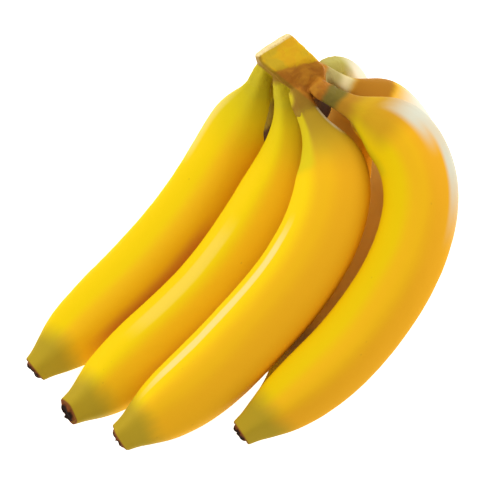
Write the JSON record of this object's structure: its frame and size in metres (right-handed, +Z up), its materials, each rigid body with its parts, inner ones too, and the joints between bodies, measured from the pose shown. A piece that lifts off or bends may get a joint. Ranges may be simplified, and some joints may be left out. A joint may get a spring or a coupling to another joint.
{
  "type": "bunch of bananas",
  "caption": "Bunch of ripe yellow bananas joined by one brown crown, curved fruits in two rows, lying on its side.",
  "frame": {"origin": "middle of the bunch's box, on the surface it lies on", "axes": "+Z up from that surface; seen from above, the crown is at +Y and the blossom ends point to -X and -Y"},
  "size_m": [0.2058, 0.2, 0.0994],
  "materials": {
    "peel": "satin",
    "crown": "matte"
  },
  "bodies": {
    "root": {"banana_1": "peel", "banana_2": "peel", "banana_3": "peel", "banana_4": "peel", "banana_5": "peel", "banana_6": "peel", "crown": "crown"}
  },
  "joints": []
}
